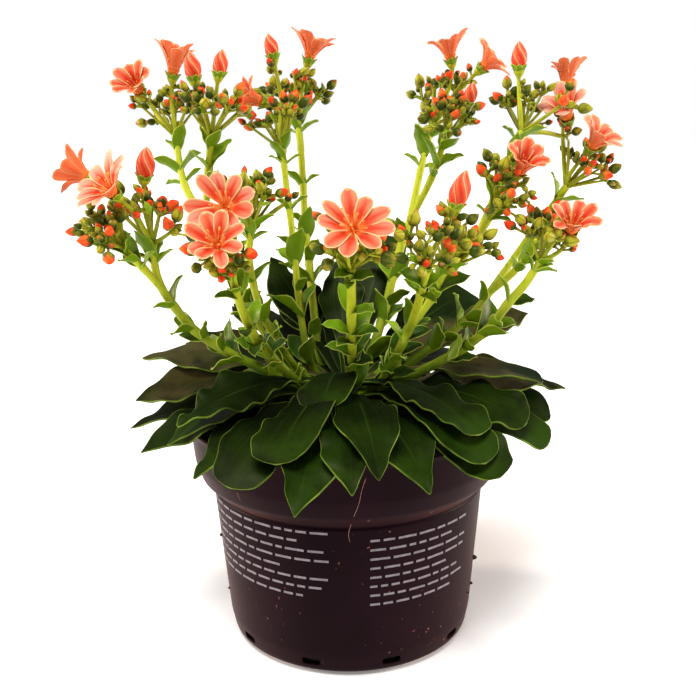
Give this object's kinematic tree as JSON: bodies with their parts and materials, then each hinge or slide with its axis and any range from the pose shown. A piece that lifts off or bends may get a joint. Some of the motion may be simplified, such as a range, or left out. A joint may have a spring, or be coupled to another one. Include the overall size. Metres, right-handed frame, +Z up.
{
  "type": "potted lewisia",
  "caption": "Lewisia in flower in a round nursery pot: a rosette of wavy leaves over the rim, branched leafy stems, coral blooms and clustered buds.",
  "frame": {"origin": "centre of the pot's underside, on the surface that it stands on", "axes": "+Z up, -Y towards the viewer of the picture, +X to that viewer's right"},
  "size_m": [0.2057, 0.1592, 0.2314],
  "materials": {
    "pot_plastic": "satin",
    "soil": "matt, crumbly",
    "leaf": "satin, fleshy",
    "stem": "satin",
    "petal": "soft sheen"
  },
  "bodies": {
    "root": {"pot": "pot_plastic", "soil": "soil", "rosette": "leaf", "stem_far_left": "stem", "stem_left_back": "stem", "stem_left_front": "stem", "stem_left_mid": "stem", "stem_back_left": "stem", "stem_back_mid": "stem", "stem_front": "stem", "stem_back_right": "stem", "stem_right_front": "stem", "stem_right_mid": "stem", "stem_right_back": "stem", "stem_far_right": "stem", "bloom_front": "petal", "bloom_left_upper": "petal", "bloom_left_lower": "petal", "bloom_far_left_front": "petal", "bloom_far_left_back": "petal", "bloom_left_back_cup": "petal", "bloom_left_back_top": "petal", "bloom_back_left_top": "petal", "bloom_back_mid_side": "petal", "bloom_back_right_side": "petal", "bloom_back_right_top": "petal", "bloom_right_mid_cup": "petal", "bloom_right_back_upper": "petal", "bloom_right_back_top": "petal", "bloom_right_back_side": "petal", "bloom_far_right": "petal", "opening_bud_far_left": "petal", "opening_bud_left_back": "petal", "opening_bud_left_back_tip": "petal", "opening_bud_back_mid": "petal", "opening_bud_back_right": "petal", "opening_bud_right_front": "petal", "opening_bud_right_mid": "petal"}
  },
  "joints": []
}
